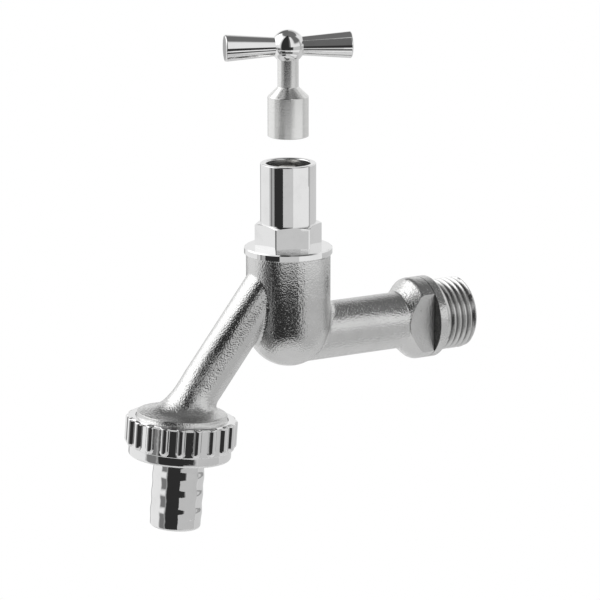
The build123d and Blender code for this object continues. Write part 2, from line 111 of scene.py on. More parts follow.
# Frames that the pieces are drawn in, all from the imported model
spindle_axis = axis_frame((middle("guard_sleeve").x, 0, 0), (0, 0, 1))
outlet_axis = axis_frame(JOINTS["nut_turn"]["pos_m"], -Vector(JOINTS["nut_turn"]["axis"]))
inlet_axis = axis_frame((0, 0, 0), (1, 0, 0), (0, 0, 1))
key_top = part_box("key_handle")[1].z


class TapSizes(bpy.types.PropertyGroup):
    """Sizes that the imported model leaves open, in metres and radians."""

    turning_steps: IntProperty(
        name="Turning steps", description="Facets round a turned piece", default=160, min=24)
    arc_steps: IntProperty(
        name="Arc steps", description="Facets of a rounded corner", default=6, min=1)
    flat_area: FloatProperty(
        name="Flat area", description="Least area of a cast face that is shaded flat",
        default=0.000025, unit="AREA")
    edge_round: FloatProperty(
        name="Edge round", description="Rounding of polished edges", default=0.00030, unit="LENGTH")
    hexagon_round: FloatProperty(
        name="Hexagon round", description="Set-back of the hexagon's rounded corners",
        default=0.00115, unit="LENGTH")
    thread_pitch: FloatProperty(
        name="Thread pitch", description="Rise of the pipe thread in one turn",
        default=0.001814, unit="LENGTH")
    thread_depth: FloatProperty(
        name="Thread depth", description="Depth of the pipe thread", default=0.00100, unit="LENGTH")
    thread_crest: FloatProperty(
        name="Thread crest", description="Flat left on each crest", default=0.00034, unit="LENGTH")
    thread_steps: IntProperty(
        name="Thread steps", description="Facets in one turn of thread", default=72, min=12)
    stop_ring: FloatProperty(
        name="Stop ring", description="Thickness of the ring behind the inlet's thread",
        default=0.0025, unit="LENGTH")
    spanner_flats: FloatProperty(
        name="Spanner flats", description="Width over the flats behind the stop ring",
        default=0.0167, unit="LENGTH")
    flats_end: FloatProperty(
        name="Flats' end", description="Far end of the flats behind the thread",
        default=0.0160, unit="LENGTH")
    rib_count: IntProperty(
        name="Ribs", description="Grip ribs round the union nut", default=20, min=3)
    rib_width: FloatProperty(
        name="Rib width", description="Width of a grip rib", default=0.0028, unit="LENGTH")
    rib_edge: FloatProperty(
        name="Rib edge", description="Width over which a rib rises", default=0.00060, unit="LENGTH")
    rib_top: FloatProperty(
        name="Rib top", description="Ribs' start below the nut's top", default=0.00020, unit="LENGTH")
    rib_end: FloatProperty(
        name="Rib end", description="Ribs' end above the nut's bottom", default=0.00305, unit="LENGTH")
    nut_wall: FloatProperty(
        name="Nut wall", description="Wall of the nut's plain band", default=0.00142, unit="LENGTH")
    nut_valley: FloatProperty(
        name="Nut valley", description="Step from the plain band to the ground of the ribs",
        default=0.00010, unit="LENGTH")
    nut_band: FloatProperty(
        name="Nut band", description="Height of the plain band", default=0.0029, unit="LENGTH")
    nut_floor: FloatProperty(
        name="Nut floor", description="Thickness of the nut's floor", default=0.0021, unit="LENGTH")
    nut_crown: FloatProperty(
        name="Nut crown", description="Top ring's step behind the ribs", default=0.00055, unit="LENGTH")
    nut_bevel: FloatProperty(
        name="Nut bevel", description="Bevel of the nut's top ring", default=0.00050, unit="LENGTH")
    nut_round: FloatProperty(
        name="Nut round", description="Round of the nut's bottom edge", default=0.00080, unit="LENGTH")
    thread_gap: FloatProperty(
        name="Thread gap", description="Play between the nut and the outlet's thread",
        default=0.00006, unit="LENGTH")
    rib_turn: FloatProperty(
        name="Rib turn", description="Angle of the first rib", default=radians(8), subtype="ANGLE")
    rib_facets: IntProperty(
        name="Rib facets", description="Facets from one rib to the next", default=34, min=8)
    cone_height: FloatProperty(
        name="Cone height", description="Height of the key socket's cone", default=0.0027, unit="LENGTH")
    socket_length: FloatProperty(
        name="Socket length", description="Length of the key's socket below its cone",
        default=0.0116, unit="LENGTH")
    socket_depth: FloatProperty(
        name="Socket depth", description="Depth of the key's square hole", default=0.0095, unit="LENGTH")
    socket_flats: FloatProperty(
        name="Socket flats", description="Width of the key's square hole", default=0.0051, unit="LENGTH")
    square_turn: FloatProperty(
        name="Square turn", description="Angle of the key's square", default=radians(-20), subtype="ANGLE")
    stem_radius: FloatProperty(
        name="Stem radius", description="Radius of the key's stem", default=0.0030, unit="LENGTH")
    ball_radius: FloatProperty(
        name="Ball radius", description="Radius of the key's ball", default=0.0048, unit="LENGTH")
    ball_steps: IntProperty(
        name="Ball steps", description="Facets over the key's ball from arm to arm", default=24, min=6)
    stem_gap: FloatProperty(
        name="Stem gap", description="Stem's end below the top of its packed piece",
        default=0.0020, unit="LENGTH")
    arm_turn: FloatProperty(
        name="Arm turn", description="Angle of the key's arms", default=radians(-19.5), subtype="ANGLE")
    arm_root_radius: FloatProperty(
        name="Arm root", description="Radius of an arm at the ball", default=0.0027, unit="LENGTH")
    arm_tip_radius: FloatProperty(
        name="Arm tip", description="Radius of an arm at its end", default=0.00385, unit="LENGTH")
    tip_round: FloatProperty(
        name="Tip round", description="Round of an arm's end", default=0.0004, unit="LENGTH")
    barb_depth: FloatProperty(
        name="Barb depth", description="Height of a barb of the hose tail", default=0.00018, unit="LENGTH")
    barb_pitch: FloatProperty(
        name="Barb pitch", description="Distance between barbs", default=0.0052, unit="LENGTH")
    barb_count: IntProperty(
        name="Barbs", description="Barbs on the hose tail", default=3, min=1)
    first_barb: FloatProperty(
        name="First barb", description="First barb below the nut", default=0.0056, unit="LENGTH")
    barb_steps: IntProperty(
        name="Barb steps", description="Facets along one barb", default=16, min=4)
    tail_radius: FloatProperty(
        name="Tail radius", description="Radius of the hose tail over its barbs",
        default=0.00745, unit="LENGTH")
    tail_flange: FloatProperty(
        name="Tail flange", description="Thickness of the hose tail's flange", default=0.0017, unit="LENGTH")
    inlet_thread: FloatProperty(
        name="Inlet thread", description="Diameter of the inlet's pipe thread",
        default=0.020955, unit="LENGTH")
    outlet_thread: FloatProperty(
        name="Outlet thread", description="Diameter of the outlet's pipe thread",
        default=0.026441, unit="LENGTH")


class TapFinishes(bpy.types.PropertyGroup):
    """Colours and gloss of the tap's materials."""

    cast_colour: FloatVectorProperty(
        name="Cast metal", description="Colour of the blasted plating",
        default=(0.76, 0.76, 0.755), subtype="COLOR")
    cast_roughness: FloatProperty(
        name="Cast roughness", description="Roughness of the blasted plating", default=0.13, subtype="FACTOR")
    cast_grain: FloatProperty(
        name="Cast grain", description="Grain size of the blasting", default=0.00048, unit="LENGTH")
    cast_relief: FloatProperty(
        name="Cast relief", description="Height of the grain", default=0.00012, unit="LENGTH")
    chrome_colour: FloatVectorProperty(
        name="Chrome", description="Colour of the mirror plating",
        default=(0.86, 0.86, 0.86), subtype="COLOR")
    chrome_roughness: FloatProperty(
        name="Chrome roughness", description="Roughness of the mirror plating",
        default=0.035, subtype="FACTOR")
    mirror_ripple: FloatProperty(
        name="Mirror ripple", description="Height of the ripple in the mirror plating",
        default=0.000004, unit="LENGTH")
    union_ripple: FloatProperty(
        name="Union ripple", description="Height of the ripple on the hose union",
        default=0.00004, unit="LENGTH")
    turned_colour: FloatVectorProperty(
        name="Turned metal", description="Colour of the turned plating",
        default=(0.90, 0.90, 0.89), subtype="COLOR")
    turned_roughness: FloatProperty(
        name="Turned roughness", description="Roughness of the turned plating",
        default=0.26, subtype="FACTOR")
    brass_colour: FloatVectorProperty(
        name="Machined metal", description="Colour of the inner pieces",
        default=(0.76, 0.75, 0.71), subtype="COLOR")
    brass_roughness: FloatProperty(
        name="Machined roughness", description="Roughness of the inner pieces",
        default=0.24, subtype="FACTOR")
    steel_colour: FloatVectorProperty(
        name="Spring steel", description="Colour of the retaining ring",
        default=(0.42, 0.42, 0.43), subtype="COLOR")
    steel_roughness: FloatProperty(
        name="Spring steel roughness", description="Roughness of the retaining ring",
        default=0.34, subtype="FACTOR")
    rubber_colour: FloatVectorProperty(
        name="Rubber", description="Colour of the seals", default=(0.025, 0.025, 0.026), subtype="COLOR")
    plastic_colour: FloatVectorProperty(
        name="Slip plastic", description="Colour of the slip ring",
        default=(0.80, 0.80, 0.78), subtype="COLOR")


class TapStage(bpy.types.PropertyGroup):
    """Camera, floor and light."""

    view_turn: FloatProperty(
        name="View turn", description="Camera's turn from the front",
        default=radians(29.534), subtype="ANGLE")
    view_height: FloatProperty(
        name="View height", description="Camera's angle above the horizon",
        default=radians(13.723), subtype="ANGLE")
    view_distance: FloatProperty(
        name="View distance", description="Camera's distance", default=1.0, unit="LENGTH")
    view_target: FloatVectorProperty(
        name="View target", description="Point that the camera looks at",
        default=(-0.0429, 0.0004, 0.0098), subtype="TRANSLATION")
    lens: FloatProperty(
        name="Lens", description="Focal length in millimetres", default=207.68)
    floor_drop: FloatProperty(
        name="Floor drop", description="Floor's depth below the inlet", default=0.16, unit="LENGTH")
    floor_radius: FloatProperty(
        name="Floor radius", description="Radius of the floor", default=0.19, unit="LENGTH")
    floor_steps: IntProperty(
        name="Floor steps", description="Facets round the floor", default=96, min=12)
    card_steps: IntProperty(
        name="Card steps", description="Facets along a curved card", default=16, min=1)
    floor_colour: FloatVectorProperty(
        name="Floor", description="Colour of the floor", default=(0.74, 0.74, 0.74), subtype="COLOR")
    floor_white: FloatProperty(
        name="Floor white", description="Light added to the floor where the camera sees it", default=0.6)
    floor_gloss: FloatProperty(
        name="Floor gloss", description="Light added to the floor where metal mirrors it", default=0.3)
    softbox_light: FloatProperty(
        name="Softbox light", description="Light added at the upper left", default=0.75)
    room_light: FloatProperty(
        name="Room light", description="Brightness of the white surround", default=0.88)
    room_dark: FloatProperty(
        name="Room dark", description="Brightness of the surround's dark openings", default=0.03)


# Shader maths
class Socket:
    """One output of a shader node, with its maths written as Python expressions."""

    def __init__(self, graph, output):
        self.graph = graph
        self.output = output

    def math(self, operation, *values):
        """A Math node on the given values."""
        return self.graph.node("ShaderNodeMath", {"operation": operation}, dict(enumerate(values)))

    def __add__(self, other):
        return self.math("ADD", self, other)

    def __radd__(self, other):
        return self.math("ADD", other, self)

    def __sub__(self, other):
        return self.math("SUBTRACT", self, other)

    def __rsub__(self, other):
        return self.math("SUBTRACT", other, self)

    def __mul__(self, other):
        return self.math("MULTIPLY", self, other)

    def __rmul__(self, other):
        return self.math("MULTIPLY", other, self)

    def length(self, other):
        """Length of a vector with two parts."""
        return self.math("SQRT", self * self + other * other)

    def between(self, low, high, soft):
        """One between two values and zero outside, with soft edges."""
        return self.step(low - soft, low + soft) * (1 - self.step(high - soft, high + soft))

    def step(self, low, high):
        """Smooth rise from zero at one value to one at another."""
        settings = {"interpolation_type": "SMOOTHSTEP"}
        inputs = {"Value": self, "From Min": low, "From Max": high}
        return self.graph.node("ShaderNodeMapRange", settings, inputs)


class Graph:
    """A node tree that is filled from Python."""

    def __init__(self, tree):
        self.tree = tree
        tree.nodes.clear()

    def node(self, kind, settings=None, inputs=None, output=0):
        """Adds a node, sets it up, links or sets its sockets and returns one output."""
        made = self.tree.nodes.new(kind)
        for name, value in (settings or {}).items():
            setattr(made, name, value)
        for name, value in (inputs or {}).items():
            if isinstance(value, Socket):
                self.tree.links.new(value.output, made.inputs[name])
            else:
                made.inputs[name].default_value = value
        return Socket(self, made.outputs[output]) if made.outputs else None

    def place(self):
        """Place on the piece, in the tap's own frame."""
        return self.node("ShaderNodeTexCoord", output="Object")

    def split(self, place):
        """The three parts of a vector."""
        return [self.node("ShaderNodeSeparateXYZ", inputs={0: place}, output=axis) for axis in "XYZ"]

    def noise(self, place, size, detail=2.0, roughness=0.5):
        """Noise of a given grain size in metres, about one half."""
        values = {"Vector": place, "Scale": 1 / size, "Detail": detail, "Roughness": roughness}
        return self.node("ShaderNodeTexNoise", inputs=values)

    def tint(self, factor, colour_a, colour_b):
        """Colour between two others."""
        # The Mix node repeats its sockets for each type of data, so the colours' own go by number
        share, first, second, result = 0, 6, 7, 2
        inputs = {share: factor, first: (*colour_a, 1), second: (*colour_b, 1)}
        return self.node("ShaderNodeMix", {"data_type": "RGBA"}, inputs, output=result)

    def bump(self, height, distance):
        """Normal of a relief whose height of one stands for a distance in metres."""
        return self.node("ShaderNodeBump", inputs={"Height": height, "Distance": distance})

    def surface(self, **values):
        """Ends the tree in one Principled shader, whose sockets are named in words."""
        named = {name.replace("_", " ").title(): value for name, value in values.items()}
        shader = self.node("ShaderNodeBsdfPrincipled", inputs=named)
        self.node("ShaderNodeOutputMaterial", inputs={"Surface": shader})


def new_finish(name):
    """A new material and its empty node tree."""
    material = bpy.data.materials.new(name)
    material.use_nodes = True
    return material, Graph(material.node_tree)


def shade(colour, share):
    """A colour made darker or lighter."""
    return tuple(channel * share for channel in colour)


def cast_finish(looks, sizes):
    """Blasted casting under satin plating: grain, soft clouds, a few pits and a machined thread, with painted
    shade in its valleys and on the back of the stop ring.
    """
    cloud_size = 0.006
    wave_size = 0.0024
    pit_spacing = 0.0034
    blur = 0.0001
    ring_band = 0.00012
    valley_floor = 0.00012
    valley_rim = 0.00018
    flat_skin = (0.00004, 0.00001)
    material, graph = new_finish("cast_satin_plating")
    place = graph.place()
    grain = graph.noise(place, looks.cast_grain, detail=1.0)
    cloud = graph.noise(place, cloud_size, detail=3.0)
    waves = graph.noise(place, wave_size, detail=1.0)
    cells = graph.node("ShaderNodeTexVoronoi", inputs={"Vector": place, "Scale": 1 / pit_spacing})
    pits = (1 - cells.step(0.045, 0.075)) * cloud.step(0.52, 0.58)

    # The machined thread with painted shade in its valleys, painted shade on the back of the stop ring, and
    # the spanner flats
    x, y, z = graph.split(place)
    crest = sizes.inlet_thread / 2
    root = crest - sizes.thread_depth
    machined = x.step(-blur, blur)
    # Painted shade: darkens the base colour in the thread's valleys
    valley_shade = machined * (1 - y.length(z).step(root + valley_floor, crest - valley_rim))
    # Painted shade: darkens the base colour on the back face of the stop ring
    ring_back_shade = x.between(-sizes.stop_ring - ring_band, -sizes.stop_ring + ring_band, ring_band / 4)
    half_width = sizes.spanner_flats / 2
    flats = y.math("ABSOLUTE", y).step(*(half_width - skin for skin in flat_skin))
    flats = flats * x.between(-sizes.flats_end, -sizes.stop_ring, blur)

    height = (grain + waves * 0.4 - pits * 0.5) * (1 - machined * 0.9)
    # The clouds and pits are the plating's own tone; the thread's valleys and the stop ring's back are
    # painted shade
    wear_and_shade = cloud * 0.2 + pits * 0.25 + ring_back_shade * 0.8 + valley_shade * 0.5
    graph.surface(
        base_color=graph.tint(wear_and_shade, looks.cast_colour, shade(looks.cast_colour, 0.2)),
        metallic=1.0,
        roughness=looks.cast_roughness + grain * 0.06 + cloud * 0.04 + machined * 0.06 + flats * 0.20,
        normal=graph.bump(height, looks.cast_relief),
    )
    return material


def chrome_finish(looks, name, ripple_height):
    """Mirror plating with a faint ripple from polishing, soft smears and a duller bore in the sleeve."""
    ripple_size = 0.0026
    smear_size = 0.0050
    scratch_size = 0.00012
    wall = 0.0002
    rim = 0.0004
    material, graph = new_finish(name)
    place = graph.place()
    ripple = graph.noise(place, ripple_size)
    smear = graph.noise(place, smear_size, detail=4.0, roughness=0.6)
    scratch = graph.noise(place, scratch_size)
    x, y, z = graph.split(place)
    bore = radii("guard_sleeve", spindle_axis)[0]
    sleeve_top = reach("guard_sleeve", spindle_axis, 2)[1]
    inside = 1 - (x - spindle_axis.translation.x).length(y).step(bore, bore + wall)
    inside = inside * (1 - z.step(sleeve_top - rim, sleeve_top))
    dulled = shade(looks.chrome_colour, 0.95)
    graph.surface(
        base_color=graph.tint(smear.step(0.45, 0.75), looks.chrome_colour, dulled),
        metallic=1.0,
        roughness=looks.chrome_roughness + smear.step(0.5, 0.8) * 0.03 + scratch * 0.02 + inside * 0.20,
        normal=graph.bump(ripple, ripple_height),
    )
    return material


def turned_finish(name, colour, roughness, axis):
    """Lathe-turned metal with fine rings round its axis."""
    ring_size = 0.00022
    ring_height = 0.000007
    stretch = 0.04
    cloud_size = 0.004
    material, graph = new_finish(name)
    turn = axis.inverted()
    settings = {"vector_type": "POINT"}
    inputs = {"Vector": graph.place(), "Location": turn.translation, "Rotation": turn.to_euler()}
    place = graph.node("ShaderNodeMapping", settings, inputs)
    squeeze = graph.node("ShaderNodeMapping", settings, {"Vector": place, "Scale": (stretch, stretch, 1.0)})
    rings = graph.noise(squeeze, ring_size, detail=4.0, roughness=0.7)
    cloud = graph.noise(place, cloud_size)
    graph.surface(
        base_color=graph.tint(rings.step(0.3, 0.7), colour, shade(colour, 0.93)),
        metallic=1.0,
        roughness=roughness + rings * 0.08 + cloud * 0.06 - 0.07,
        normal=graph.bump(rings, ring_height),
    )
    return material


def rubber_finish(looks):
    """Moulded black rubber with a dusty bloom."""
    bloom_size = 0.0016
    skin_size = 0.00016
    skin_height = 0.00002
    material, graph = new_finish("seal_rubber")
    place = graph.place()
    bloom = graph.noise(place, bloom_size, detail=4.0)
    skin = graph.noise(place, skin_size)
    graph.surface(
        base_color=graph.tint(bloom.step(0.4, 0.8), looks.rubber_colour, shade(looks.rubber_colour, 2.2)),
        roughness=0.62 + skin * 0.2,
        normal=graph.bump(skin, skin_height),
    )
    return material


def plastic_finish(looks):
    """Pale slippery plastic with a faint moulded grain."""
    skin_size = 0.0003
    skin_height = 0.00001
    material, graph = new_finish("slip_plastic")
    place = graph.place()
    skin = graph.noise(place, skin_size)
    graph.surface(
        base_color=graph.tint(skin, looks.plastic_colour, shade(looks.plastic_colour, 0.92)),
        roughness=0.38 + skin * 0.12,
        normal=graph.bump(skin, skin_height),
    )
    return material


# Mesh helpers
def rounded(outline, steps):
    """Points of an outline whose corners (across, along, radius) become arcs."""
    points = []
    for index, (across, along, radius) in enumerate(outline):
        corner = Vector((across, along))
        if radius == 0:
            points.append(corner)
            continue
        before = Vector(outline[index - 1][:2]) - corner
        after = Vector(outline[(index + 1) % len(outline)][:2]) - corner
        half = before.angle(after) / 2
        centre = corner + (before.normalized() + after.normalized()).normalized() * (radius / sin(half))
        start = corner + before.normalized() * (radius / tan(half)) - centre
        turn = -start.angle_signed(corner + after.normalized() * (radius / tan(half)) - centre)
        points += [centre + Matrix.Rotation(turn * step / steps, 2) @ start for step in range(steps + 1)]
    return points


def turned(points, place, steps, closed=True):
    """Bmesh of an outline (across, along) spun round a frame's Z axis."""
    mesh = bmesh.new()
    corners = [mesh.verts.new(place @ Vector((point[0], 0, point[1]))) for point in points]
    edges = [mesh.edges.new(pair) for pair in zip(corners, corners[1:])]
    if closed:
        edges.append(mesh.edges.new((corners[-1], corners[0])))
    bmesh.ops.spin(
        mesh, geom=corners + edges, cent=place.translation, axis=place.col[2].xyz, angle=2 * pi, steps=steps,
        use_merge=True)
    return tidied(mesh)


def tidied(mesh):
    """Merges doubles and turns all faces outwards."""
    bmesh.ops.remove_doubles(mesh, verts=mesh.verts, dist=1e-7)
    bmesh.ops.dissolve_degenerate(mesh, edges=mesh.edges, dist=1e-8)
    bmesh.ops.recalc_face_normals(mesh, faces=mesh.faces)
    return mesh


def as_object(mesh, name):
    """Turns a bmesh into an object in the scene."""
    data = bpy.data.meshes.new(name)
    mesh.to_mesh(data)
    mesh.free()
    made = bpy.data.objects.new(name, data)
    bpy.context.scene.collection.objects.link(made)
    return made


def smoothed(piece, angle=radians(32), weigh=True):
    """Smooth shading with edges sharp past an angle, and flat faces that stay flat beside narrow rounds."""
    piece.data.polygons.foreach_set("use_smooth", [True] * len(piece.data.polygons))
    piece.data.set_sharp_from_angle(angle=angle)
    if not weigh:
        return piece
    weighted = piece.modifiers.new("even_normals", "WEIGHTED_NORMAL")
    weighted.keep_sharp = True
    weighted.weight = 100
    return piece


def crisp_flats(piece, area):
    """Marks the edges of large flat faces as sharp."""
    for face in piece.data.polygons:
        if face.area > area:
            for loop in face.loop_indices:
                piece.data.edges[piece.data.loops[loop].edge_index].use_edge_sharp = True
    return piece


def cut(piece, tool, operation="DIFFERENCE"):
    """Cuts one object with another, for good, and removes the tool."""
    boolean = piece.modifiers.new("cut", "BOOLEAN")
    boolean.operation = operation
    boolean.solver = "EXACT"
    boolean.object = tool
    graph = bpy.context.evaluated_depsgraph_get()
    result = bpy.data.meshes.new_from_object(piece.evaluated_get(graph))
    piece.modifiers.clear()
    old = piece.data
    piece.data = result
    bpy.data.meshes.remove(old)
    bpy.data.objects.remove(tool)
    if not piece.data.polygons:
        raise RuntimeError(f"cutting {piece.name} left nothing")
    return piece


def copy_of(node, name):
    """Merged copy of a CAD node's mesh."""
    mesh = bmesh.new()
    mesh.from_mesh(frame["nodes"][node].data)
    bmesh.ops.remove_doubles(mesh, verts=mesh.verts, dist=1e-6)
    return as_object(mesh, name)


def join_flats(piece):
    """Joins the triangles of flat and singly curved faces."""
    mesh = bmesh.new()
    mesh.from_mesh(piece.data)
    flatness = radians(0.4)
    bmesh.ops.dissolve_limit(
        mesh, angle_limit=flatness, verts=mesh.verts, edges=mesh.edges, delimit=set())
    mesh.to_mesh(piece.data)
    mesh.free()


def hand_over(piece, node, material):
    """Gives a piece its finish and lets it stand for a CAD node on the same body."""
    piece.data.materials.clear()
    piece.data.materials.append(material)
    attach(piece, frame["nodes"][node]["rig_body"])
    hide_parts(node)
    return piece


# Shape of a thread's cutter: how far it stands out of the crests and how far it lifts at its end, as shares
# of the thread's depth, and its width as a share that keeps the turns apart
CUTTER_OVERLAP = 0.4
CUTTER_LIFT = 1.3
CUTTER_WIDTH = 0.98


def thread_cutter(name, place, radius, start, end, run_out, sizes):
    """Helical groove from `start` to `end` along a frame's Z axis, which fades at its end."""
    crest = sizes.thread_crest / 2
    flank = sizes.thread_pitch / 2 - crest
    over = sizes.thread_depth * CUTTER_OVERLAP
    lead = flank * over / sizes.thread_depth
    turns = abs(end - start) / sizes.thread_pitch
    steps = round(turns * sizes.thread_steps)
    rise = (end - start) / steps
    mesh = bmesh.new()
    outline = [
        (radius + over, -flank - lead),
        (radius + over, flank + lead),
        (radius - sizes.thread_depth, crest / 2),
        (radius - sizes.thread_depth, -crest / 2),
    ]
    outline = [(across, along * CUTTER_WIDTH) for across, along in outline]
    corners = [mesh.verts.new(place @ Vector((across, 0, start + along))) for across, along in outline]
    face = mesh.faces.new(corners)
    axis = place.col[2].xyz
    bmesh.ops.spin(
        mesh, geom=[face, *face.edges, *face.verts], cent=place.translation, axis=axis, dvec=axis * rise,
        angle=2 * pi * turns * (1 if rise > 0 else -1), steps=steps)
    inverse = place.inverted()
    for vertex in mesh.verts:
        local = inverse @ vertex.co
        left = abs(local.z - end)
        if left < run_out:
            lift = sizes.thread_depth * CUTTER_LIFT * (1 - left / run_out) ** 2
            local.xy = local.xy.normalized() * (local.xy.length + lift)
            vertex.co = place @ local
    return as_object(tidied(mesh), name)


class TapOperator(bpy.types.Operator):
    """Shared access to the settings."""

    bl_options = {"REGISTER", "UNDO"}

    @property
    def sizes(self):
        return bpy.context.scene.tap_sizes

    @property
    def looks(self):
        return bpy.context.scene.tap_finishes


class TAP_OT_cast_body(TapOperator):
    """Cut the pipe threads into the cast body and give it its satin plating"""

    bl_idname = "tap.cast_body"
    bl_label = "Cast Body"

    def execute(self, context):
        sizes = self.sizes
        body = copy_of("tap_body", "tap_body_cast")
        pitch = sizes.thread_pitch
        inlet_start = reach("tap_body", inlet_axis, 2)[1] + pitch
        inlet_end = pitch * 0.5
        inlet_run_out = pitch * 0.4
        cut(body, thread_cutter(
            "inlet_groove", inlet_axis, sizes.inlet_thread / 2, inlet_start, inlet_end, inlet_run_out, sizes))
        outlet_start = reach("tap_body", outlet_axis, 2)[0] - pitch
        outlet_end = reach("union_nut", outlet_axis, 2)[1] - pitch * 0.75
        cut(body, thread_cutter(
            "outlet_groove", outlet_axis, sizes.outlet_thread / 2, outlet_start, outlet_end, pitch, sizes))
        join_flats(body)
        smoothed(body, angle=radians(19), weigh=False)
        hand_over(crisp_flats(body, sizes.flat_area), "tap_body", cast_finish(self.looks, sizes))
        return {"FINISHED"}


class TAP_OT_headwork(TapOperator):
    """Model the polished bonnet and the guard sleeve"""

    bl_idname = "tap.headwork"
    bl_label = "Headwork"

    def execute(self, context):
        sizes = self.sizes
        chrome = chrome_finish(self.looks, "mirror_chrome", self.looks.mirror_ripple)
        edge = sizes.edge_round
        mouth = edge * 1.4
        broken = edge * 0.6
        inner, outer = radii("guard_sleeve", spindle_axis)
        low, high = reach("guard_sleeve", spindle_axis, 2)
        outline = [
            (inner, low, 0),
            (outer, low, 0),
            (outer, high, edge),
            (inner, high, mouth),
        ]
        sleeve = turned(rounded(outline, sizes.arc_steps), spindle_axis, sizes.turning_steps)
        hand_over(smoothed(as_object(sleeve, "guard_sleeve_polished")), "guard_sleeve", chrome)

        bonnet = copy_of("bonnet", "bonnet_polished")
        bevel = bonnet.modifiers.new("broken_edges", "BEVEL")
        bevel.width = broken
        bevel.segments = 3
        bevel.limit_method = "ANGLE"
        bevel.angle_limit = radians(28)
        bevel.use_clamp_overlap = True
        join_flats(bonnet)
        self.round_corners(bonnet, outer)
        hand_over(smoothed(bonnet), "bonnet", chrome)
        return {"FINISHED"}

    def round_corners(self, bonnet, sleeve_radius):
        """Rounds the upright corners of the hexagon under the sleeve."""
        mesh = bmesh.new()
        mesh.from_mesh(bonnet.data)
        inverse = spindle_axis.inverted()
        level = 0.01
        least_turn = radians(50)
        sides = 6

        def is_corner(edge):
            upright = all(abs(face.normal.z) < level for face in edge.link_faces)
            outside = all((inverse @ vertex.co).xy.length > sleeve_radius for vertex in edge.verts)
            return upright and outside and edge.calc_face_angle() > least_turn

        corners = [edge for edge in mesh.edges if is_corner(edge)]
        if len(corners) != sides:
            raise RuntimeError(f"the hexagon has {len(corners)} upright corners")
        bmesh.ops.bevel(
            mesh, geom=corners, offset=self.sizes.hexagon_round, offset_type="OFFSET", affect="EDGES",
            segments=self.sizes.arc_steps, profile=0.5, clamp_overlap=True)
        mesh.to_mesh(bonnet.data)
        mesh.free()


class TAP_OT_union(TapOperator):
    """Model the ribbed union nut and the hose tail"""

    bl_idname = "tap.union"
    bl_label = "Hose Union"

    def execute(self, context):
        chrome = chrome_finish(self.looks, "rippled_chrome", self.looks.union_ripple)
        hand_over(self.nut(), "union_nut", chrome)
        hand_over(self.tail(), "hose_tail", chrome)
        return {"FINISHED"}

    def nut(self):
        """A turned ring whose wall is raised into ribs with rounded ends."""
        sizes = self.sizes
        edge = sizes.edge_round
        bore, outer = radii("union_nut", outlet_axis)
        low, high = reach("union_nut", outlet_axis, 2)
        thread_bore = sizes.outlet_thread / 2 + sizes.thread_gap
        band = thread_bore + sizes.nut_wall
        valley = band + sizes.nut_valley
        crown = outer - sizes.nut_crown
        floor = low + sizes.nut_floor
        band_top = low + sizes.nut_band
        bevel = sizes.nut_bevel
        brim = edge * 0.5
        soft = edge * 0.7
        outline = [
            (bore, low, edge),
            (bore, floor, 0),
            (thread_bore, floor, 0),
            (thread_bore, high, edge),
            (crown - bevel, high, brim),
            (crown, high - bevel, brim),
            (valley, high - bevel - sizes.nut_crown, soft),
            (valley, band_top + sizes.nut_valley, soft),
            (band, band_top, soft),
            (band, low, sizes.nut_round),
        ]
        wall = band - sizes.nut_valley
        corner_steps = 4
        points = self.filled(rounded(outline, corner_steps), wall, sizes.rib_edge / 3)
        mesh = turned(points, outlet_axis, sizes.rib_count * sizes.rib_facets)
        self.raise_ribs(mesh, outer, valley, wall, high - sizes.rib_top, low + sizes.rib_end)
        return smoothed(as_object(mesh, "union_nut_polished"), angle=radians(50))

    @staticmethod
    def filled(points, wall, step):
        """Adds points to the long stretches outside a wall, so that the ribs have somewhere to end."""
        result = []
        for first, second in zip(points, points[1:] + points[:1]):
            result.append(first)
            count = int((second - first).length / step)
            if min(first.x, second.x) > wall and count > 1:
                result += [first.lerp(second, index / count) for index in range(1, count)]
        return result

    def raise_ribs(self, mesh, outer, valley, wall, top, end):
        """Moves the outer wall out into a half-round rib along each rib's centre line."""
        sizes = self.sizes
        inverse = outlet_axis.inverted()
        spacing = 2 * pi / sizes.rib_count
        half = sizes.rib_width / 2
        height = outer - valley
        curve = (half ** 2 + height ** 2) / (2 * height)
        for vertex in mesh.verts:
            local = inverse @ vertex.co
            radius = local.xy.length
            if radius < wall:
                continue
            angle = (atan2(local.y, local.x) - sizes.rib_turn) / spacing
            sideways = (angle - round(angle)) * spacing * outer
            away = min(half, Vector((sideways, max(0.0, end + half - local.z))).length)
            arc = ((curve ** 2 - away ** 2) ** 0.5 - (curve - height)) / height
            share = min(1.0, max(0.0, (top - local.z) / sizes.rib_edge))
            rise = arc * share * (2 - share)
            local.xy = local.xy.normalized() * (radius + max(0.0, outer - radius) * rise)
            vertex.co = outlet_axis @ local

    def tail(self):
        """Flange, shank and shallow barbs in one smooth wave."""
        sizes = self.sizes
        edge = sizes.edge_round
        low, high = reach("hose_tail", outlet_axis, 2)
        nut_low = reach("union_nut", outlet_axis, 2)[0]
        bore, flange = radii("hose_tail", outlet_axis)
        outer = sizes.tail_radius
        root = outer - sizes.barb_depth
        flange_end = high - sizes.tail_flange
        outline = [
            (bore, high, edge),
            (flange, high, edge),
            (flange, flange_end, edge),
            (root, flange_end, 0),
        ]
        barbs_start = nut_low - sizes.first_barb + sizes.barb_pitch / 2
        for step in range(sizes.barb_count * sizes.barb_steps + 1):
            share = step / sizes.barb_steps
            swell = (1 - cos(2 * pi * share)) / 2
            outline.append((root + sizes.barb_depth * swell, barbs_start - share * sizes.barb_pitch, 0))
        outline += [(root, low, sizes.nut_round), (bore, low, sizes.nut_round / 2)]
        mesh = turned(rounded(outline, sizes.arc_steps), outlet_axis, sizes.turning_steps)
        return smoothed(as_object(mesh, "hose_tail_polished"))


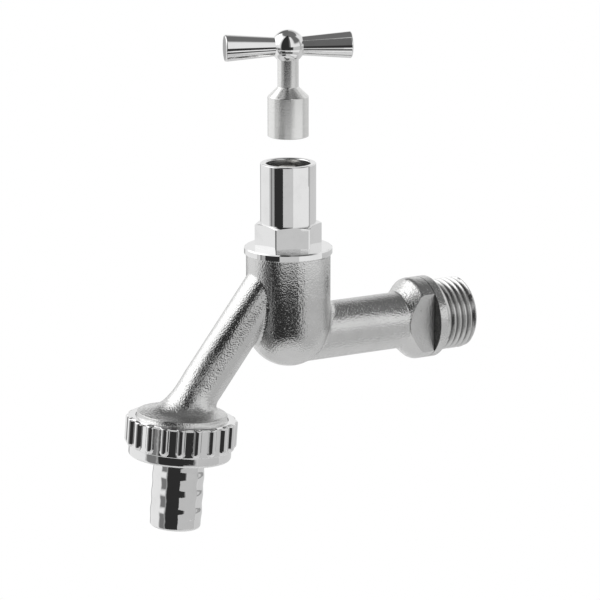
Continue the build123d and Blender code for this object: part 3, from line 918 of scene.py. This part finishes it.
class TAP_OT_key(TapOperator):
    """Model the loose key: polished ball and arms on a turned socket"""

    bl_idname = "tap.key"
    bl_label = "Loose Key"

    def execute(self, context):
        looks = self.looks
        hand_over(self.handle(), "key_handle", bpy.data.materials["mirror_chrome"])
        satin = turned_finish(
            "turned_satin_plating", looks.turned_colour, looks.turned_roughness, spindle_axis)
        hand_over(self.socket(), "key_socket", satin)
        return {"FINISHED"}

    def handle(self):
        """One outline from tip to tip, spun round the arms' own axis."""
        sizes = self.sizes
        centre = Vector((spindle_axis.translation.x, 0, key_top - sizes.ball_radius))
        along = (cos(sizes.arm_turn), sin(sizes.arm_turn), 0)
        place = axis_frame(centre, along, (0, 0, 1))
        half = reach("key_handle", place, 2)[1]
        ball = sizes.ball_radius
        root, tip = sizes.arm_root_radius, sizes.arm_tip_radius
        seat = (ball ** 2 - root ** 2) ** 0.5
        swing = atan2(root, seat)
        outline = [(0, -half, 0), (tip, -half, sizes.tip_round), (root, -seat, 0)]
        arm = rounded(outline, sizes.arc_steps)
        turns = [swing + (pi - 2 * swing) * step / sizes.ball_steps for step in range(1, sizes.ball_steps)]
        middle_arc = [Vector((ball * sin(turn), -ball * cos(turn))) for turn in turns]
        far_arm = [Vector((point.x, -point.y)) for point in reversed(arm)]
        mesh = turned(arm + middle_arc + far_arm, place, sizes.turning_steps // 2, closed=False)
        return smoothed(as_object(mesh, "key_handle_polished"))

    def socket(self):
        """Socket, cone and stem, with the square hole that fits the spindle."""
        sizes = self.sizes
        edge = sizes.edge_round
        low, high = reach("key_socket", spindle_axis, 2)
        outer = radii("key_socket", spindle_axis)[1]
        cone_base = low + sizes.socket_length
        stem_end = high - sizes.stem_gap
        outline = [
            (0, low, 0),
            (outer, low, edge),
            (outer, cone_base, edge),
            (sizes.stem_radius, cone_base + sizes.cone_height, edge),
            (sizes.stem_radius, stem_end, 0),
            (0, stem_end, 0),
        ]
        points = rounded(outline, sizes.arc_steps)
        mesh = turned(points, spindle_axis, sizes.turning_steps, closed=False)
        socket = as_object(mesh, "key_socket_turned")
        hole = bmesh.new()
        bmesh.ops.create_cube(hole, size=1)
        depth = sizes.socket_depth
        place = spindle_axis @ Matrix.Translation((0, 0, low)) @ Matrix.Rotation(sizes.square_turn, 4, "Z")
        bmesh.ops.transform(
            hole, matrix=place @ Matrix.Diagonal((sizes.socket_flats, sizes.socket_flats, 2 * depth, 1)),
            verts=hole.verts)
        return smoothed(cut(socket, as_object(hole, "square_hole")))


class TAP_OT_inner_pieces(TapOperator):
    """Give the spindle, valve and seals their finishes"""

    bl_idname = "tap.inner_pieces"
    bl_label = "Inner Pieces"

    def execute(self, context):
        looks = self.looks
        finishes = {
            "bare_brass": turned_finish(
                "machined_metal", looks.brass_colour, looks.brass_roughness, spindle_axis),
            "spring_steel": turned_finish(
                "spring_steel", looks.steel_colour, looks.steel_roughness, spindle_axis),
            "seal_rubber": rubber_finish(looks),
            "slip_plastic": plastic_finish(looks),
        }
        for node, piece in frame["nodes"].items():
            finish = finishes.get(NODE_SLOTS[node])
            if finish:
                piece.data.materials.clear()
                piece.data.materials.append(finish)
        return {"FINISHED"}


# Cards that the polished pieces mirror: the piece that each stands round, its distance, foot and top in
# metres, its first and last turn from the camera's side in degrees, and its brightness
Card = namedtuple("Card", "name piece distance start end foot top light")
CARDS = (
    Card("near_line", "guard_sleeve", 0.05, -78.4, -73.3, 0.0115, 0.0357, 0.60),
    Card("near_edge", "guard_sleeve", 0.05, -64.7, -54.5, 0.0115, 0.0357, 0.42),
    Card("near_flag", "guard_sleeve", 0.05, -54.5, -19.3, 0.0115, 0.0357, 0.03),
    Card("low_front_card", "guard_sleeve", 0.05, -19.3, 25, 0.0115, 0.0235, 0.62),
    Card("low_right_card", "guard_sleeve", 0.05, 25, 88, 0.0115, 0.0235, 0.88),
    Card("near_front_card", "guard_sleeve", 0.05, -19.3, 19, 0.0235, 0.0357, 0.62),
    Card("near_right_card", "guard_sleeve", 0.05, 19, 88, 0.0235, 0.0357, 0.88),
    Card("far_line", "guard_sleeve", 0.11, -81.8, -76.5, 0.0225, 0.0370, 0.60),
    Card("far_edge", "guard_sleeve", 0.11, -67.6, -57.0, 0.0225, 0.0370, 0.42),
    Card("far_flag", "guard_sleeve", 0.11, -57.0, -20.2, 0.0225, 0.0370, 0.03),
    Card("far_front_card", "guard_sleeve", 0.11, -20.2, 20, 0.0225, 0.0500, 0.62),
    Card("far_right_card", "guard_sleeve", 0.11, 20, 88, 0.0225, 0.0500, 0.88),
    Card("upper_card", "guard_sleeve", 0.11, -73, -20.2, 0.0370, 0.0480, 0.75),
    Card("tail_card", "hose_tail", 0.11, 9, 95, -0.1050, -0.0572, 0.56),
)

# Parts of the white room, as the tap sees them: the turns from the camera's side and the heights, in degrees,
# over which each fades in and out, and its share. ZONES, FRONT and BEHIND are dark openings
Zone = namedtuple("Zone", "name turn_in turn_out low_in high_out share")
ZONES = (
    Zone("front_low", (7, 13), (30, 46), (-44, -40), (1, 5), 1.0),
    Zone("front_left", (-84, -74), (-55, -45), (-46, -38), (-9, -1), 0.8),
    Zone("upper_right", (36, 56), (96, 116), (14, 30), (70, 86), 0.85),
    Zone("low_right", (34, 44), (96, 104), (-44, -40), (1, 5), 0.36),
    Zone("low_back", (96, 104), None, (-42.6, -41.4), (-2.6, -1.4), 0.27),
    Zone("back_right", (88, 98), None, (-16, -15), (-13.5, -12.5), 0.65),
    Zone("seam", (88, 92), (101, 105), (-13.6, -12.4), (29.4, 30.6), 0.5),
    Zone("back_left", None, (-158, -148), (-22, -18), (-8, -4), 0.55),
)
FRONT = Zone("front", (-58, -44), (17, 20), (-45, -39), None, 1.0)
FRONT_PALER = Zone("front_paler", (5, 9), None, (-2, 10), None, 0.13)
BEHIND = Zone("behind", (138, 150), None, (18, 26), (80, 88), 0.85)
BEHIND_PALER = Zone("behind_paler", (-10, 10), None, None, None, 0.59)
SOFTBOX = Zone("softbox", (-150, -134), (-74, -58), (6, 22), (50, 66), 1.0)
UNDER = Zone("under", None, None, None, (-44, -40), 0.35)

# Round dark opening overhead: how far its axis leans to the camera and to the right, the angles from the
# axis, in degrees, over which it fades in, and its share
CAP_LEAN = (-0.32, 0.10)
CAP_FADE = (36, 28)
CAP_SHARE = 0.84


class TAP_OT_stage(TapOperator):
    """Set up the camera, the pale floor and the white surround"""

    bl_idname = "tap.stage"
    bl_label = "Stage"

    def execute(self, context):
        stage = context.scene.tap_stage
        context.scene.view_settings.view_transform = "Standard"
        turn, height = stage.view_turn, stage.view_height
        back = Vector((-sin(turn) * cos(height), -cos(turn) * cos(height), sin(height)))
        self.camera(context, stage, back)
        self.floor(stage)
        ahead = Vector((back.x, back.y, 0)).normalized()
        for card in CARDS:
            self.reflector(stage, ahead, card)
        self.surround(context, stage, ahead)
        return {"FINISHED"}

    @staticmethod
    def camera(context, stage, back):
        """Camera on the line that runs back from its target."""
        data = bpy.data.cameras.new("camera")
        data.lens = stage.lens
        camera = bpy.data.objects.new("camera", data)
        camera.location = Vector(stage.view_target) + back * stage.view_distance
        camera.rotation_mode = "QUATERNION"
        camera.rotation_quaternion = (-back).to_track_quat("-Z", "Y")
        context.scene.collection.objects.link(camera)
        context.scene.camera = camera

    @staticmethod
    def floor(stage):
        """Pale disc that takes the tap's shadow, looks white to the camera and is clear from below."""
        mesh = bmesh.new()
        bmesh.ops.create_circle(mesh, cap_ends=True, segments=stage.floor_steps, radius=stage.floor_radius)
        bmesh.ops.translate(mesh, verts=mesh.verts, vec=(spindle_axis.translation.x, 0, -stage.floor_drop))
        floor = as_object(mesh, "floor")
        material, graph = new_finish("pale_floor")
        paint = graph.node("ShaderNodeBsdfDiffuse", inputs={"Color": (*stage.floor_colour, 1)})
        camera_ray = graph.node("ShaderNodeLightPath", output="Is Camera Ray")
        glossy_ray = graph.node("ShaderNodeLightPath", output="Is Glossy Ray")
        strength = camera_ray * stage.floor_white + glossy_ray * stage.floor_gloss
        glow = graph.node("ShaderNodeEmission", inputs={"Color": (1, 1, 1, 1), "Strength": strength})
        surface = graph.node("ShaderNodeAddShader", inputs={0: paint, 1: glow})
        below = graph.node("ShaderNodeNewGeometry", output="Backfacing")
        clear = graph.node("ShaderNodeBsdfTransparent")
        seen = graph.node("ShaderNodeMixShader", inputs={0: camera_ray * below, 1: surface, 2: clear})
        graph.node("ShaderNodeOutputMaterial", inputs={"Surface": seen})
        floor.data.materials.append(material)

    @staticmethod
    def reflector(stage, ahead, card):
        """Upright curved card round a piece, between two turns from the camera's side."""
        centre = Vector((middle(card.piece).x, 0, 0))
        mesh = bmesh.new()
        arm = Matrix.Rotation(radians(card.start), 3, "Z") @ ahead * card.distance
        corners = [mesh.verts.new(centre + arm + Vector((0, 0, height))) for height in (card.foot, card.top)]
        edge = mesh.edges.new(corners)
        sweep = radians(card.end - card.start)
        bmesh.ops.spin(
            mesh, geom=[*corners, edge], cent=centre, axis=(0, 0, 1), angle=sweep, steps=stage.card_steps)
        made = as_object(mesh, card.name)
        made.visible_camera = False
        material, graph = new_finish(card.name)
        glow = graph.node("ShaderNodeEmission", inputs={"Color": (1, 1, 1, 1), "Strength": card.light})
        graph.node("ShaderNodeOutputMaterial", inputs={"Surface": glow})
        made.data.materials.append(material)

    @staticmethod
    def surround(context, stage, ahead):
        """White room with a softbox and dark openings, which the camera sees as plain white."""
        world = bpy.data.worlds.new("studio")
        world.use_nodes = True
        context.scene.world = world
        graph = Graph(world.node_tree)
        right = Vector((-ahead.y, ahead.x, 0))
        direction = graph.node("ShaderNodeTexCoord", output="Generated")

        def part(axis):
            """Share of the direction along an axis."""
            return graph.node(
                "ShaderNodeVectorMath", {"operation": "DOT_PRODUCT"}, {0: direction, 1: axis}, output="Value")

        up = part((0, 0, 1))
        side = part(right)
        turn = side.math("ARCTAN2", side, part(ahead)) * (180 / pi)
        height = up.math("ARCSINE", up) * (180 / pi)

        def fill(zone, turn=turn):
            """How much of a zone each direction lies in."""
            share = zone.share
            limits = ((turn, zone.turn_in, zone.turn_out), (height, zone.low_in, zone.high_out))
            for value, fade_in, fade_out in limits:
                if fade_in:
                    share = share * value.step(*fade_in)
                if fade_out:
                    share = share * (1 - value.step(*fade_out))
            return share

        cap_axis = (Vector((0, 0, 1)) + ahead * CAP_LEAN[0] + right * CAP_LEAN[1]).normalized()
        overhead = part(cap_axis).step(*(cos(radians(angle)) for angle in CAP_FADE)) * CAP_SHARE
        behind = fill(BEHIND, turn.math("ABSOLUTE", turn)) * (1 - fill(BEHIND_PALER))
        dark = fill(FRONT) * (1 - fill(FRONT_PALER))
        for opening in (overhead, behind, *map(fill, ZONES)):
            dark = dark.math("MAXIMUM", dark, opening)
        light = stage.room_light * (1 - fill(UNDER)) + fill(SOFTBOX) * stage.softbox_light
        level = light * (1 - dark) + stage.room_dark * dark
        camera_ray = graph.node("ShaderNodeLightPath", output="Is Camera Ray")
        strength = level * (1 - camera_ray) + camera_ray
        background = graph.node("ShaderNodeBackground", inputs={"Color": (1, 1, 1, 1), "Strength": strength})
        graph.node("ShaderNodeOutputWorld", inputs={"Surface": background})


class TAP_PT_sidebar(bpy.types.Panel):
    """Sidebar panel with the tap's steps and settings"""

    bl_idname = "TAP_PT_sidebar"
    bl_label = "Loose Key Tap"
    bl_space_type = "VIEW_3D"
    bl_region_type = "UI"
    bl_category = "Tap"

    def draw(self, context):
        for operator in OPERATORS:
            self.layout.operator(operator.bl_idname)
        for group in (context.scene.tap_sizes, context.scene.tap_finishes, context.scene.tap_stage):
            box = self.layout.box()
            for name in group.bl_rna.properties.keys():
                if name not in ("rna_type", "name"):
                    box.prop(group, name)


OPERATORS = (
    TAP_OT_cast_body,
    TAP_OT_headwork,
    TAP_OT_union,
    TAP_OT_key,
    TAP_OT_inner_pieces,
    TAP_OT_stage,
)
GROUPS = (TapSizes, TapFinishes, TapStage)
CLASSES = (*GROUPS, *OPERATORS, TAP_PT_sidebar)


def register():
    for cls in CLASSES:
        bpy.utils.register_class(cls)
    bpy.types.Scene.tap_sizes = PointerProperty(type=TapSizes)
    bpy.types.Scene.tap_finishes = PointerProperty(type=TapFinishes)
    bpy.types.Scene.tap_stage = PointerProperty(type=TapStage)


def unregister():
    del bpy.types.Scene.tap_stage
    del bpy.types.Scene.tap_finishes
    del bpy.types.Scene.tap_sizes
    for cls in reversed(CLASSES):
        bpy.utils.unregister_class(cls)


def main():
    register()
    bpy.ops.tap.cast_body()
    bpy.ops.tap.headwork()
    bpy.ops.tap.union()
    bpy.ops.tap.key()
    bpy.ops.tap.inner_pieces()
    bpy.ops.tap.stage()


if __name__ == "__main__":
    main()
